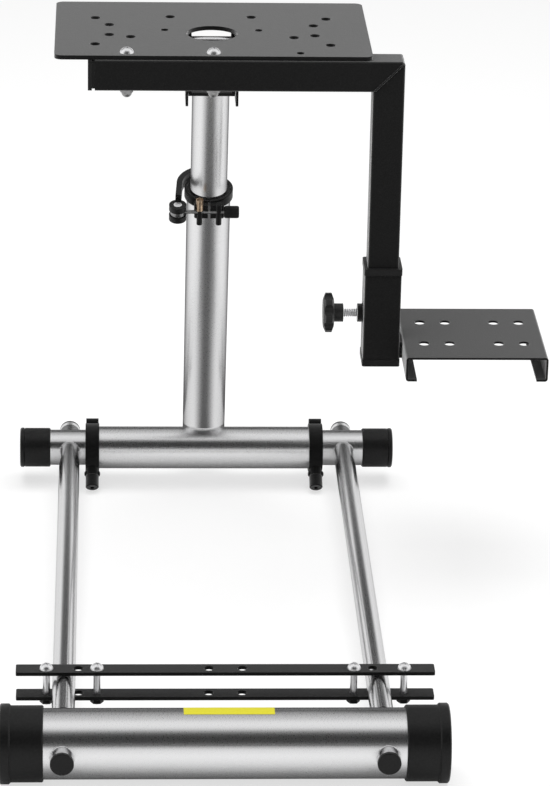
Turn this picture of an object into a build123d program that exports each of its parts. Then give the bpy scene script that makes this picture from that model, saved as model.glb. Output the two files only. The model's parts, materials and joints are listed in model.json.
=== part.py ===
from build123d import *
import os
from math import cos, radians, sin, tan

# Racing wheel stand in millimetres: +Z up, +X to the shifter side, +Y from the pedal end to the seat end.
# The origin is on the floor, below the middle of the stand's outer box.

# Clearances
weld_gap = 0.2          # around a tube that is welded through another
seat_gap = 0.3          # between a flat piece and a round tube that it lies on
cap_fit = 0.2           # radial, between a plastic cap or plug and its tube
bush_fit = 0.1          # radial, between a bush and the tube that holds it
pivot_fit = 0.08        # radial, between a hinge pin and its bore
slide_fit = 0.3         # between telescoping pieces
bolt_fit = 0.2          # radial, between a bolt and its clearance hole
ear_gap = 0.5           # on each side, between the head bracket and the plate's ears

# Base tubes
front_tube_od = 76.0
front_tube_wall = 1.5
front_overhang = 66.7    # of the front tube, past each side tube's axis
front_cap_od = 82.0
front_cap_rim_od = 86.0
front_cap_rim = 11.5
front_cap_length = 46.5
front_cap_end = 4.0
side_tube_od = 25.4
side_tube_wall = 1.5
side_spacing = 345.6
side_rise = 2.0         # of the side tubes' axes above the front and rear tubes' axes
front_stub = 15.0       # from the front tube's face to the plug's face
rear_stub = 30.0        # from the rear tube's face to the plug's face
plug_head = 4.5
plug_chamfer = 0.8
plug_spigot = 14.0
plug_spigot_wall = 2.0
rear_tube_od = 44.5
rear_tube_wall = 1.5
rear_length = 470.0
rear_cap_od = 49.0
rear_cap_rim_od = 49.8
rear_cap_rim = 6.0
rear_cap_length = 38.0
rear_cap_end = 3.0
tube_spacing = 810.0    # from the front tube's axis to the rear tube's axis
cap_chamfer = 1.5
cap_lip_chamfer = 1.2

# Pedal bars, clamped above and below the side tubes
pedal_bar_length = 461.0
pedal_bar_width = 21.0
pedal_bar_thickness = 4.0
pedal_bar_corner = 2.0
pedal_bar_y = 141.8     # from the front tube's axis to the middle of the bars
pedal_bar_shift = 5.0
pedal_bolt_outside = 24.2  # from a side tube's axis to the bolts beyond it
pedal_bolt_inside = 31.3
pedal_hole_outer = 162.0
pedal_hole_inner = 18.4
pedal_hole_d = 11.0
bolt_d = 8.0
bolt_head_d = 15.4
bolt_head_height = 6.4
nut_width = 13.0
nut_height = 6.5
bolt_end = 2.0          # of a bolt past its nut's flats
nut_dome_radius = 6.2   # of a dome nut

# Pivot sleeve on the rear tube, with its clamp collars
post_shift = -3.2       # of the post and all that it carries, from the middle of the base
sleeve_od = 53.0
sleeve_wall = 2.0
sleeve_bush_length = 45.0
collar_inset = 31.8     # from a side tube's axis to the middle of the collar
collar_width = 17.2
collar_od = 61.0
collar_boss_angle = 50.0  # forward of straight down
collar_boss_d = 15.2
collar_boss_reach = 41.0  # from the rear tube's axis
collar_screw_d = 8.0
collar_foot_d = 16.6
collar_foot_chamfer = 1.0
collar_socket = 6.0
collar_socket_depth = 5.0
collar_knuckle_d = 13.0
collar_knuckle_angle = 31.0  # behind straight up
collar_knuckle_width = 15.6

# Telescoping post
post_lean = 15.0        # from upright towards the pedal end
post_offset = 30.0      # of the post's axis behind the rear tube's axis
outer_post_bottom = 15.0  # along the post, from the height of the rear tube's axis
outer_post_top = 380.5
post_bush_length = 60.0
post_bush_flange = 2.0
inner_post_od = 44.5
inner_post_wall = 1.5
inner_post_length = 400.0

# Quick release clamp round the top of the outer post
ring_od = 59.0
ring_height = 11.0
ring_rim = 2.0          # of the ring above the guide bush
ring_slit = 3.0
ring_lug_half_width = 18.0
ring_lug_front = 37.5
ring_lug_height = 18.0
ring_lug_drop = 8.5     # of the lugs below the ring
ring_lug_corner = 3.0
clamp_bolt_d = 4.6
clamp_bolt_front = 36.0
clamp_bolt_rise = 8.5   # of the bolt above the lugs' lower faces
barrel_pin_d = 7.0
barrel_pin_x = 11.6
barrel_pin_below = 9.0
barrel_pin_above = 2.0
pin_bush_d = 8.8
pin_bush_rise = 3.0     # of the bush's lower end above the bolt
pin_bush_above = 8.0    # of its upper end above the lugs
clamp_nut_d = 15.0
clamp_nut_length = 18.0
lever_x = 38.0          # of the lever's pin, to the left of the post's axis
lever_pin_d = 10.0
lever_boss_d = 21.0
lever_fork_height = 21.0
eye_d = 18.0
eye_height = 6.0
lever_arm_radius = 35.5
lever_arm_thickness = 7.0
lever_arm_height = 15.0
lever_arm_rise = 10.0   # of the arm's middle above the bolt
lever_neck = 18.0       # from the lever's pin, where the arm is as tall as the fork
lever_arm_end_angle = 66.0  # past straight left, towards the back

# Tilting head
web_thickness = 4.0
head_height = 58.0      # along the post's axis, from the web to the wheel plate
head_half_width = 27.5
head_half_depth = 38.0
head_side_rise = 16.0
head_lug_radius = 10.5
ear_thickness = 3.0
ear_front = 63.0        # from the tilt bolt
ear_rear = 25.0
ear_drop = 62.0         # from the tilt bolt to the ears' lower edge
ear_foot = 37.0         # length of the ears' lower edge
ear_rear_drop = 16.0
ear_corner = 4.0
tilt_bolt_d = 12.0
tilt_bolt_width = 19.0
tilt_bolt_head = 7.5
tilt_bolt_nut = 10.0
tilt_bolt_below_plate = 12.7
tilt_bolt_behind_hole = 27.0

# Wheel plate
plate_width = 369.0
plate_depth = 222.0
plate_thickness = 5.0
plate_corner = 9.0
plate_top = 625.7
plate_hole_d = 60.0
plate_hole_from_front = 92.0
wheel_hole_d = 12.4
small_hole_d = 9.6
# Half spacing across, and place behind the centre hole, of each pair of wheel holes
wheel_hole_pairs = [(137.4, 61.9), (121.0, 33.5), (121.0, -7.4), (137.4, -45.6), (96.0, -15.6), (48.4, 67.8)]
small_hole_pair = (55.5, 13.4)

# Shifter arm
arm_size = 36.6
arm_wall = 2.0
arm_corner = 3.0
arm_elbow_radius = 4.5
arm_front_overhang = 4.4  # of the beam in front of the plate's front edge
beam_left = 137.6       # of the tube's left end, from the post
upright_x = 203.5       # of the upright's middle, from the post
upright_tail = 3.4      # of the upright below the shifter mount's sleeve
beam_bolt_spacing = 100.6
beam_plug_neck = 3.4
beam_plug_head = 4.6
beam_plug_spigot = 15.0
plate_bolt_head_d = 17.0

# Shifter mount
holder_size = 43.6
holder_bottom = 252.1
holder_length = 106.8
holder_lip = 8.2
holder_lip_proud = 0.7
boss_d = 22.0
boss_length = 6.6
knob_rise = 52.2        # of the knob's axis above the sleeve's lower end
knob_d = 47.5
knob_thickness = 12.6
knob_edge = 7.4
knob_face_d = 34.0
knob_lobes = 7
knob_scallop_d = 15.0
knob_scallop_out = 3.0  # of the scallops' centres past the lobes' ends
knob_hub_d = 22.0
knob_hub_length = 11.2
knob_screw_d = 10.4
knob_screw_visible = 17.0
spacer_thickness = 3.6
spacer_height = 20.0
spacer_rise = 0.4       # of the spacer above the sleeve's lower end
spacer_depth = 38.0
spacer_corner = 4.0
tray_width = 168.0
tray_depth = 163.0
tray_thickness = 2.5
tray_rise = 26.5        # of the tray's top above the sleeve's lower end
tray_flange = 30.0
tray_lip = 12.0
tray_bend = 2.2
tray_hole_d = 13.0
tray_hole_outer = 119.4
tray_hole_inner = 58.6
tray_hole_rows = 69.4

# Places worked out from the sizes
axis_z = front_cap_rim_od / 2
side_z = axis_z + side_rise
front_length = side_spacing + 2 * front_overhang
collar_spacing = side_spacing - 2 * collar_inset
pedal_bolt_outer = side_spacing / 2 + pedal_bolt_outside
pedal_bolt_inner = side_spacing / 2 - pedal_bolt_inside
shifter_reach = post_shift + upright_x + holder_size / 2 + spacer_thickness + tray_width
base_x = (front_length / 2 - shifter_reach) / 2
front_end = front_tube_od / 2 + front_stub
rear_end = tube_spacing + rear_tube_od / 2 + rear_stub
front_y = (front_end - rear_end) / 2
rear_y = front_y + tube_spacing
post_x = base_x + post_shift
lean_sin = sin(radians(post_lean))
lean_cos = cos(radians(post_lean))
side_places = {"left": base_x - side_spacing / 2, "right": base_x + side_spacing / 2}
plate_bottom = plate_top - plate_thickness
inner_post_top = (plate_bottom - axis_z) / lean_cos - head_height
inner_post_bottom = inner_post_top - inner_post_length
plate_hole_y = rear_y + post_offset - tan(radians(post_lean)) * (plate_top - axis_z)
plate_front = plate_hole_y - plate_hole_from_front
tilt_y = plate_hole_y + tilt_bolt_behind_hole
tilt_z = plate_bottom - tilt_bolt_below_plate
arm_y = plate_front - arm_front_overhang + arm_size / 2
arm_z = plate_bottom - arm_size / 2
arm_x = post_x + upright_x
arm_bore = arm_size - 2 * arm_wall
holder_right = arm_x + holder_size / 2
holder_left = arm_x - holder_size / 2
tray_left = holder_right + spacer_thickness
holder_top = holder_bottom + holder_length
upright_bottom = holder_bottom - upright_tail
knob_z = holder_bottom + knob_rise
tray_top = holder_bottom + tray_rise


def across(x, y, z):
    """Plane that faces +X, with its own axes along +Y and +Z."""
    return Plane(origin=(x, y, z), x_dir=(0, 1, 0), z_dir=(1, 0, 0))


def along(x, y, z):
    """Plane that faces +Y, with its own axes along +X and -Z."""
    return Plane(origin=(x, y, z), x_dir=(1, 0, 0), z_dir=(0, 1, 0))


def level(x, y, z):
    """Plane that faces +Z."""
    return Plane(origin=(x, y, z), x_dir=(1, 0, 0), z_dir=(0, 0, 1))


# Square to the post, and the post seen from its +X side with the post's axis upward
post_foot = (post_x, rear_y + post_offset, axis_z)
post_plane = Plane(origin=post_foot, x_dir=(1, 0, 0), z_dir=(0, -lean_sin, lean_cos))


def post_side(x):
    return Plane(origin=(x, rear_y + post_offset, axis_z), x_dir=(0, lean_cos, lean_sin), z_dir=(1, 0, 0))


def keep(part, name):
    part.label = name
    export_step(part, f"parts/{name}.step")


os.makedirs("parts", exist_ok=True)


# Base

# Front tube, with holes for the two side tubes
with BuildPart() as front_tube:
    tube_length = front_length - 2 * front_cap_end
    with BuildSketch(across(base_x - tube_length / 2, front_y, axis_z)):
        Circle(front_tube_od / 2)
        Circle(front_tube_od / 2 - front_tube_wall, mode=Mode.SUBTRACT)
    extrude(amount=tube_length)
    for x in side_places.values():
        with BuildSketch(along(x, front_y - front_tube_od, side_z)):
            Circle(side_tube_od / 2 + weld_gap)
        extrude(amount=2 * front_tube_od, mode=Mode.SUBTRACT)
keep(front_tube.part, "front_tube")

# Rear tube, which the pivot sleeve turns on
with BuildPart() as rear_tube:
    tube_length = rear_length - 2 * rear_cap_end
    with BuildSketch(across(base_x - tube_length / 2, rear_y, axis_z)):
        Circle(rear_tube_od / 2)
        Circle(rear_tube_od / 2 - rear_tube_wall, mode=Mode.SUBTRACT)
    extrude(amount=tube_length)
    for x in side_places.values():
        with BuildSketch(along(x, rear_y - rear_tube_od, side_z)):
            Circle(side_tube_od / 2 + weld_gap)
        extrude(amount=2 * rear_tube_od, mode=Mode.SUBTRACT)
keep(rear_tube.part, "rear_tube")


def tube_cap(end_plane, tube_od, cap_od, rim_od, rim, length, end):
    """Cup that slips over a tube's end, with a thicker rim at its closed end."""
    with BuildPart() as cap:
        with BuildSketch(end_plane):
            Circle(rim_od / 2)
        extrude(amount=rim)
        chamfer(cap.edges().filter_by(GeomType.CIRCLE), cap_chamfer)
        with BuildSketch(end_plane.offset(rim)):
            Circle(cap_od / 2)
        extrude(amount=length - rim)
        chamfer(cap.faces().sort_by(Axis(end_plane.origin, end_plane.z_dir))[-1].edges(), cap_lip_chamfer)
        with BuildSketch(end_plane.offset(end)):
            Circle(tube_od / 2 + cap_fit)
        extrude(amount=length, mode=Mode.SUBTRACT)
    return cap.part


for side, sign in (("left", -1), ("right", 1)):
    front_end_plane = Plane(
        origin=(base_x + sign * front_length / 2, front_y, axis_z), x_dir=(0, 1, 0), z_dir=(-sign, 0, 0))
    rear_end_plane = Plane(
        origin=(base_x + sign * rear_length / 2, rear_y, axis_z), x_dir=(0, 1, 0), z_dir=(-sign, 0, 0))
    keep(tube_cap(front_end_plane, front_tube_od, front_cap_od, front_cap_rim_od, front_cap_rim,
                  front_cap_length, front_cap_end), f"front_cap_{side}")
    keep(tube_cap(rear_end_plane, rear_tube_od, rear_cap_od, rear_cap_rim_od, rear_cap_rim,
                  rear_cap_length, rear_cap_end), f"rear_cap_{side}")


def end_plug(face_plane):
    """Round plug with a flat head and a hollow spigot that sits inside a side tube."""
    spigot_radius = side_tube_od / 2 - side_tube_wall - bush_fit
    with BuildPart() as plug:
        with BuildSketch(face_plane):
            Circle(side_tube_od / 2)
        extrude(amount=plug_head)
        chamfer(plug.faces().sort_by(Axis.Y)[0 if face_plane.z_dir.Y > 0 else -1].edges(), plug_chamfer)
        with BuildSketch(face_plane.offset(plug_head)):
            Circle(spigot_radius)
            Circle(spigot_radius - plug_spigot_wall, mode=Mode.SUBTRACT)
        extrude(amount=plug_spigot)
    return plug.part


# Side tubes run through the front and rear tubes and stand out as plugged stubs
for side, x in side_places.items():
    with BuildPart() as side_tube:
        with BuildSketch(along(x, front_y - front_end + plug_head, side_z)):
            Circle(side_tube_od / 2)
            Circle(side_tube_od / 2 - side_tube_wall, mode=Mode.SUBTRACT)
        extrude(amount=front_end + rear_end - 2 * plug_head)
    keep(side_tube.part, f"side_tube_{side}")
    front_face = along(x, front_y - front_end, side_z)
    rear_face = Plane(origin=(x, front_y + rear_end, side_z), x_dir=(1, 0, 0), z_dir=(0, -1, 0))
    keep(end_plug(front_face), f"front_plug_{side}")
    keep(end_plug(rear_face), f"rear_plug_{side}")


# Clamp collars round the ends of the pivot sleeve; the heads of their set screws are the stand's rear feet
boss_sin = sin(radians(collar_boss_angle))
boss_cos = cos(radians(collar_boss_angle))
foot_reach = (axis_z - boss_sin * collar_foot_d / 2) / boss_cos
screw_start = sleeve_od / 2 + slide_fit
knuckle_reach = collar_od / 2
knuckle_turn = radians(collar_knuckle_angle)
knuckle_place = (knuckle_reach * sin(knuckle_turn), knuckle_reach * cos(knuckle_turn))
for side, sign in (("left", -1), ("right", 1)):
    collar_x = post_x + sign * collar_spacing / 2
    collar_face = across(collar_x - collar_width / 2, rear_y, axis_z)
    boss_plane = Plane(origin=(collar_x, rear_y, axis_z), x_dir=(1, 0, 0), z_dir=(0, -boss_sin, -boss_cos))
    with BuildPart() as collar:
        with BuildSketch(collar_face):
            Circle(collar_od / 2)
        extrude(amount=collar_width)
        with BuildSketch(boss_plane):
            Circle(collar_boss_d / 2)
        extrude(amount=collar_boss_reach)
        with BuildSketch(collar_face.offset((collar_width - collar_knuckle_width) / 2)):
            with Locations(knuckle_place):
                Circle(collar_knuckle_d / 2)
        extrude(amount=collar_knuckle_width)
        with BuildSketch(collar_face):
            Circle(sleeve_od / 2 + slide_fit)
        extrude(amount=collar_width, mode=Mode.SUBTRACT)
        with BuildSketch(boss_plane):
            Circle(collar_screw_d / 2 + bush_fit)
        extrude(amount=collar_boss_reach, mode=Mode.SUBTRACT)
    keep(collar.part, f"collar_{side}")

    # Set screw with a large round head that stands on the floor
    with BuildPart() as collar_screw:
        with BuildSketch(boss_plane.offset(collar_boss_reach)):
            Circle(collar_foot_d / 2)
        extrude(amount=foot_reach - collar_boss_reach)
        chamfer(collar_screw.faces().sort_by(Axis.Z)[0].edges(), collar_foot_chamfer)
        with BuildSketch(boss_plane.offset(screw_start)):
            Circle(collar_screw_d / 2)
        extrude(amount=collar_boss_reach - screw_start)
        with BuildSketch(boss_plane.offset(foot_reach)):
            RegularPolygon(collar_socket / 2, 6, major_radius=False)
        extrude(amount=-collar_socket_depth, mode=Mode.SUBTRACT)
    keep(collar_screw.part, f"collar_screw_{side}")


# Pedal bars

pedal_x = base_x + pedal_bar_shift
pedal_y = front_y + pedal_bar_y
upper_bar_bottom = side_z + side_tube_od / 2 + seat_gap
lower_bar_bottom = side_z - side_tube_od / 2 - seat_gap - pedal_bar_thickness
bolt_places = [(-pedal_bolt_outer, 0), (-pedal_bolt_inner, 0), (pedal_bolt_inner, 0), (pedal_bolt_outer, 0)]
free_places = [(-pedal_hole_outer, 0), (-pedal_hole_inner, 0), (pedal_hole_inner, 0), (pedal_hole_outer, 0)]
for name, bottom in (("pedal_bar_upper", upper_bar_bottom), ("pedal_bar_lower", lower_bar_bottom)):
    with BuildPart() as pedal_bar:
        with BuildSketch(level(pedal_x, pedal_y, bottom)):
            RectangleRounded(pedal_bar_length, pedal_bar_width, pedal_bar_corner)
            with Locations(*bolt_places):
                Circle(bolt_d / 2 + bolt_fit, mode=Mode.SUBTRACT)
            with Locations(*free_places):
                Circle(pedal_hole_d / 2, mode=Mode.SUBTRACT)
        extrude(amount=pedal_bar_thickness)
    keep(pedal_bar.part, name)


def dome_bolt(top_plane, head_d, length):
    """Dome head that lies on a plane, and a shank that runs down from it."""
    half = head_d / 2
    dome_radius = (half * half + bolt_head_height * bolt_head_height) / (2 * bolt_head_height)
    with BuildPart() as bolt:
        with BuildSketch(Plane(origin=top_plane.origin, x_dir=(1, 0, 0), z_dir=(0, -1, 0))):
            with BuildLine():
                Line((0, 0), (half, 0))
                RadiusArc((half, 0), (0, bolt_head_height), -dome_radius)
                Line((0, bolt_head_height), (0, 0))
            make_face()
        revolve(axis=Axis(top_plane.origin, (0, 0, 1)))
        with BuildSketch(top_plane):
            Circle(bolt_d / 2)
        extrude(amount=-length)
    return bolt.part


def hex_nut(top_plane):
    """Nut that hangs below a plane, round a bolt."""
    with BuildPart() as nut:
        with BuildSketch(top_plane):
            RegularPolygon(nut_width / 2, 6, major_radius=False)
            Circle(bolt_d / 2 + bush_fit, mode=Mode.SUBTRACT)
        extrude(amount=-nut_height)
    return nut.part


def dome_nut(top_plane):
    """Nut with a closed dome below it, round a bolt's end."""
    dome_top = top_plane.offset(-nut_height)
    with BuildPart() as nut:
        with BuildSketch(top_plane):
            RegularPolygon(nut_width / 2, 6, major_radius=False)
        extrude(amount=-nut_height)
        with BuildSketch(Plane(origin=dome_top.origin, x_dir=(1, 0, 0), z_dir=(0, -1, 0))):
            with BuildLine():
                Line((0, 0), (0, -nut_dome_radius))
                RadiusArc((0, -nut_dome_radius), (nut_dome_radius, 0), -nut_dome_radius)
                Line((nut_dome_radius, 0), (0, 0))
            make_face()
        revolve(axis=Axis(dome_top.origin, (0, 0, 1)))
        with BuildSketch(top_plane):
            Circle(bolt_d / 2 + bush_fit)
        extrude(amount=-nut_height - bolt_end, mode=Mode.SUBTRACT)
    return nut.part


upper_bar_top = upper_bar_bottom + pedal_bar_thickness
pedal_bolt_length = upper_bar_top - lower_bar_bottom + nut_height + bolt_end
pedal_bolt_xs = [pedal_x + place[0] for place in bolt_places]
keep(Compound(children=[dome_bolt(level(x, pedal_y, upper_bar_top), bolt_head_d, pedal_bolt_length)
                        for x in pedal_bolt_xs]), "pedal_bolts")
keep(Compound(children=[hex_nut(level(x, pedal_y, lower_bar_bottom)) for x in pedal_bolt_xs]), "pedal_nuts")


# Post

# Pivot sleeve and its two bushes
sleeve_length = collar_spacing + collar_width
sleeve_left = post_x - sleeve_length / 2
with BuildPart() as pivot_sleeve:
    with BuildSketch(across(sleeve_left, rear_y, axis_z)):
        Circle(sleeve_od / 2)
        Circle(sleeve_od / 2 - sleeve_wall, mode=Mode.SUBTRACT)
    extrude(amount=sleeve_length)
keep(pivot_sleeve.part, "pivot_sleeve")

for side, x in (("left", sleeve_left), ("right", sleeve_left + sleeve_length - sleeve_bush_length)):
    with BuildPart() as sleeve_bush:
        with BuildSketch(across(x, rear_y, axis_z)):
            Circle(sleeve_od / 2 - sleeve_wall - bush_fit)
            Circle(rear_tube_od / 2 + pivot_fit, mode=Mode.SUBTRACT)
        extrude(amount=sleeve_bush_length)
    keep(sleeve_bush.part, f"sleeve_bush_{side}")

# Outer post, its foot shaped to the back of the sleeve
with BuildPart() as outer_post:
    with BuildSketch(post_plane.offset(outer_post_bottom)):
        Circle(sleeve_od / 2)
        Circle(sleeve_od / 2 - sleeve_wall, mode=Mode.SUBTRACT)
    extrude(amount=outer_post_top - outer_post_bottom)
    with BuildSketch(across(post_x - sleeve_od, rear_y, axis_z)):
        Circle(sleeve_od / 2 + weld_gap)
    extrude(amount=2 * sleeve_od, mode=Mode.SUBTRACT)
keep(outer_post.part, "outer_post")

# Bush that guides the inner post, with a flange on the outer post's rim
with BuildPart() as post_bush:
    with BuildSketch(post_plane.offset(outer_post_top - post_bush_length)):
        Circle(sleeve_od / 2 - sleeve_wall - bush_fit)
    extrude(amount=post_bush_length)
    with BuildSketch(post_plane.offset(outer_post_top)):
        Circle(sleeve_od / 2)
    extrude(amount=post_bush_flange)
    with BuildSketch(post_plane.offset(outer_post_top - post_bush_length)):
        Circle(inner_post_od / 2 + slide_fit)
    extrude(amount=post_bush_length + post_bush_flange, mode=Mode.SUBTRACT)
keep(post_bush.part, "post_bush")

# Inner post
with BuildPart() as inner_post:
    with BuildSketch(post_plane.offset(inner_post_bottom)):
        Circle(inner_post_od / 2)
        Circle(inner_post_od / 2 - inner_post_wall, mode=Mode.SUBTRACT)
    extrude(amount=inner_post_top - inner_post_bottom)
keep(inner_post.part, "inner_post")


# Quick release clamp

ring_top = outer_post_top + post_bush_flange + ring_rim
ring_bottom = ring_top - ring_height
lug_bottom = ring_bottom - ring_lug_drop
lug_top = lug_bottom + ring_lug_height
bolt_height = lug_bottom + clamp_bolt_rise
bush_bottom = bolt_height + pin_bush_rise
bolt_axis_plane = Plane(
    origin=post_plane.from_local_coords((0, -clamp_bolt_front, bolt_height)),
    x_dir=post_plane.y_dir,
    z_dir=(1, 0, 0),
)
barrel_places = [(-barrel_pin_x, -clamp_bolt_front), (barrel_pin_x, -clamp_bolt_front)]
with BuildPart() as clamp_ring:
    with BuildSketch(post_plane.offset(ring_bottom)):
        Circle(ring_od / 2)
    extrude(amount=ring_height)
    with BuildSketch(post_plane.offset(lug_bottom)):
        with Locations((0, -ring_lug_front / 2)):
            RectangleRounded(2 * ring_lug_half_width, ring_lug_front, ring_lug_corner)
    extrude(amount=ring_lug_height)
    with BuildSketch(post_plane.offset(lug_bottom)):
        Circle(sleeve_od / 2 + bush_fit)
        with Locations((0, -ring_lug_front / 2)):
            Rectangle(ring_slit, 2 * ring_lug_front)
        with Locations(*barrel_places):
            Circle(barrel_pin_d / 2 + bush_fit)
    extrude(amount=ring_height + ring_lug_drop, mode=Mode.SUBTRACT)
    with BuildSketch(post_plane.offset(bush_bottom)):
        with Locations(barrel_places[0]):
            Circle(pin_bush_d / 2 + bush_fit)
    extrude(amount=ring_top - bush_bottom, mode=Mode.SUBTRACT)
    with BuildSketch(bolt_axis_plane.offset(-ring_od)):
        Circle(clamp_bolt_d / 2 + bolt_fit)
    extrude(amount=2 * ring_od, mode=Mode.SUBTRACT)
keep(clamp_ring.part, "clamp_ring")

# Two barrel pins that the bolt passes through, and a bush round the left one
with BuildPart() as clamp_pins:
    with BuildSketch(post_plane.offset(lug_bottom - barrel_pin_below)):
        with Locations(*barrel_places):
            Circle(barrel_pin_d / 2)
    extrude(amount=barrel_pin_below + ring_lug_height + barrel_pin_above)
    with BuildSketch(bolt_axis_plane.offset(-ring_od)):
        Circle(clamp_bolt_d / 2 + bolt_fit)
    extrude(amount=2 * ring_od, mode=Mode.SUBTRACT)
keep(clamp_pins.part, "clamp_pins")

with BuildPart() as pin_bush:
    with BuildSketch(post_plane.offset(bush_bottom)):
        with Locations(barrel_places[0]):
            Circle(pin_bush_d / 2)
            Circle(barrel_pin_d / 2 + bush_fit, mode=Mode.SUBTRACT)
    extrude(amount=lug_top + pin_bush_above - bush_bottom)
keep(pin_bush.part, "pin_bush")

# Bolt with an eye for the lever's pin, and its nut against the right lug
lever_place = (-lever_x, -clamp_bolt_front)
with BuildPart() as clamp_bolt:
    with BuildSketch(bolt_axis_plane.offset(-lever_x)):
        Circle(clamp_bolt_d / 2)
    extrude(amount=lever_x + ring_lug_half_width + clamp_nut_length)
    with BuildSketch(post_plane.offset(bolt_height - eye_height / 2)):
        with Locations(lever_place):
            Circle(eye_d / 2)
    extrude(amount=eye_height)
    with BuildSketch(post_plane.offset(bolt_height - eye_height / 2)):
        with Locations(lever_place):
            Circle(lever_pin_d / 2 + bush_fit)
    extrude(amount=eye_height, mode=Mode.SUBTRACT)
keep(clamp_bolt.part, "clamp_bolt")

with BuildPart() as clamp_nut:
    with BuildSketch(bolt_axis_plane.offset(ring_lug_half_width)):
        Circle(clamp_nut_d / 2)
        Circle(clamp_bolt_d / 2 + bush_fit, mode=Mode.SUBTRACT)
    extrude(amount=clamp_nut_length)
keep(clamp_nut.part, "clamp_nut")

# Pin that the lever turns on
with BuildPart() as lever_pin:
    with BuildSketch(post_plane.offset(bolt_height - lever_fork_height / 2)):
        with Locations(lever_place):
            Circle(lever_pin_d / 2)
    extrude(amount=lever_fork_height)
keep(lever_pin.part, "lever_pin")

# Lever: a forked cam boss and an arm that wraps round the post
neck_part = lever_neck / clamp_bolt_front
neck_end = (-lever_x + neck_part * (lever_x - lever_arm_radius), -clamp_bolt_front + lever_neck)
with BuildPart() as clamp_lever:
    with BuildSketch(post_plane.offset(bolt_height + lever_arm_rise - lever_arm_height / 2)):
        with BuildLine():
            Line(lever_place, (-lever_arm_radius, 0))
            CenterArc((0, 0), lever_arm_radius, 180, -lever_arm_end_angle)
        trace(line_width=lever_arm_thickness)
    extrude(amount=lever_arm_height)
    with BuildSketch(post_plane.offset(bolt_height - lever_fork_height / 2)):
        with BuildLine():
            Line(lever_place, neck_end)
        trace(line_width=lever_arm_thickness)
        with Locations(lever_place):
            Circle(lever_boss_d / 2)
    extrude(amount=lever_fork_height)
    with BuildSketch(post_plane.offset(bolt_height + lever_fork_height / 2)):
        with Locations(lever_place):
            Circle(lever_boss_d / 2)
    extrude(amount=lever_arm_height, mode=Mode.SUBTRACT)
    with BuildSketch(post_plane.offset(bolt_height - eye_height / 2 - slide_fit)):
        with Locations(lever_place):
            Circle(lever_boss_d / 2 + slide_fit)
    extrude(amount=eye_height + 2 * slide_fit, mode=Mode.SUBTRACT)
    with BuildSketch(post_plane.offset(bolt_height - lever_fork_height / 2)):
        with Locations(lever_place):
            Circle(lever_pin_d / 2 + pivot_fit)
    extrude(amount=lever_fork_height, mode=Mode.SUBTRACT)
keep(clamp_lever.part, "clamp_lever")


# Tilting head

tilt_local = post_side(post_x).to_local_coords(Vector(post_x, tilt_y, tilt_z))
with BuildPart() as head_bracket:
    with BuildSketch(post_plane.offset(inner_post_top)):
        Rectangle(2 * head_half_width, 2 * head_half_depth)
    extrude(amount=web_thickness)
    for x in (post_x - head_half_width, post_x + head_half_width - web_thickness):
        with BuildSketch(post_side(x)):
            with Locations((0, inner_post_top + head_side_rise / 2)):
                Rectangle(2 * head_half_depth, head_side_rise)
            with Locations((tilt_local.X, tilt_local.Y)):
                Circle(head_lug_radius)
            make_hull()
            with Locations((tilt_local.X, tilt_local.Y)):
                Circle(tilt_bolt_d / 2 + pivot_fit, mode=Mode.SUBTRACT)
        extrude(amount=web_thickness)
keep(head_bracket.part, "head_bracket")

# Ears under the wheel plate, outside the head bracket
ear_inside = head_half_width + ear_gap
ear_outline = [
    (-ear_front, tilt_bolt_below_plate),
    (-ear_front, -ear_drop),
    (-ear_front + ear_foot, -ear_drop),
    (ear_rear, -ear_rear_drop),
    (ear_rear, tilt_bolt_below_plate),
]
for side, x in (("left", post_x - ear_inside - ear_thickness), ("right", post_x + ear_inside)):
    with BuildPart() as head_ear:
        with BuildSketch(across(x, tilt_y, tilt_z)) as ear_sketch:
            with BuildLine():
                Polyline(*ear_outline, close=True)
            make_face()
            fillet(ear_sketch.vertices().sort_by(Axis.Y)[:3], ear_corner)
            Circle(tilt_bolt_d / 2 + bolt_fit, mode=Mode.SUBTRACT)
        extrude(amount=ear_thickness)
    keep(head_ear.part, f"head_ear_{side}")

# Tilt bolt through the ears and the head bracket
ear_outside = ear_inside + ear_thickness
with BuildPart() as tilt_bolt:
    with BuildSketch(across(post_x - ear_outside - tilt_bolt_head, tilt_y, tilt_z)):
        RegularPolygon(tilt_bolt_width / 2, 6, major_radius=False)
    extrude(amount=tilt_bolt_head)
    with BuildSketch(across(post_x - ear_outside, tilt_y, tilt_z)):
        Circle(tilt_bolt_d / 2)
    extrude(amount=2 * ear_outside + tilt_bolt_nut)
    with BuildSketch(across(post_x + ear_outside, tilt_y, tilt_z)):
        RegularPolygon(tilt_bolt_width / 2, 6, major_radius=False)
    extrude(amount=tilt_bolt_nut)
keep(tilt_bolt.part, "tilt_bolt")

# Wheel plate
beam_bolt_places = [(-beam_bolt_spacing, arm_y - plate_hole_y), (0, arm_y - plate_hole_y)]
spare_beam_place = (beam_bolt_spacing, arm_y - plate_hole_y)
with BuildPart() as wheel_plate:
    with BuildSketch(level(post_x, plate_hole_y, plate_bottom)):
        with Locations((0, plate_depth / 2 - plate_hole_from_front)):
            RectangleRounded(plate_width, plate_depth, plate_corner)
        Circle(plate_hole_d / 2, mode=Mode.SUBTRACT)
        for half, back in wheel_hole_pairs:
            with Locations((-half, back), (half, back)):
                Circle(wheel_hole_d / 2, mode=Mode.SUBTRACT)
        with Locations((-small_hole_pair[0], small_hole_pair[1]), small_hole_pair, spare_beam_place):
            Circle(small_hole_d / 2, mode=Mode.SUBTRACT)
        with Locations(*beam_bolt_places):
            Circle(bolt_d / 2 + bolt_fit, mode=Mode.SUBTRACT)
    extrude(amount=plate_thickness)
keep(wheel_plate.part, "wheel_plate")


# Shifter arm: a beam under the plate and an upright, mitred together

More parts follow.
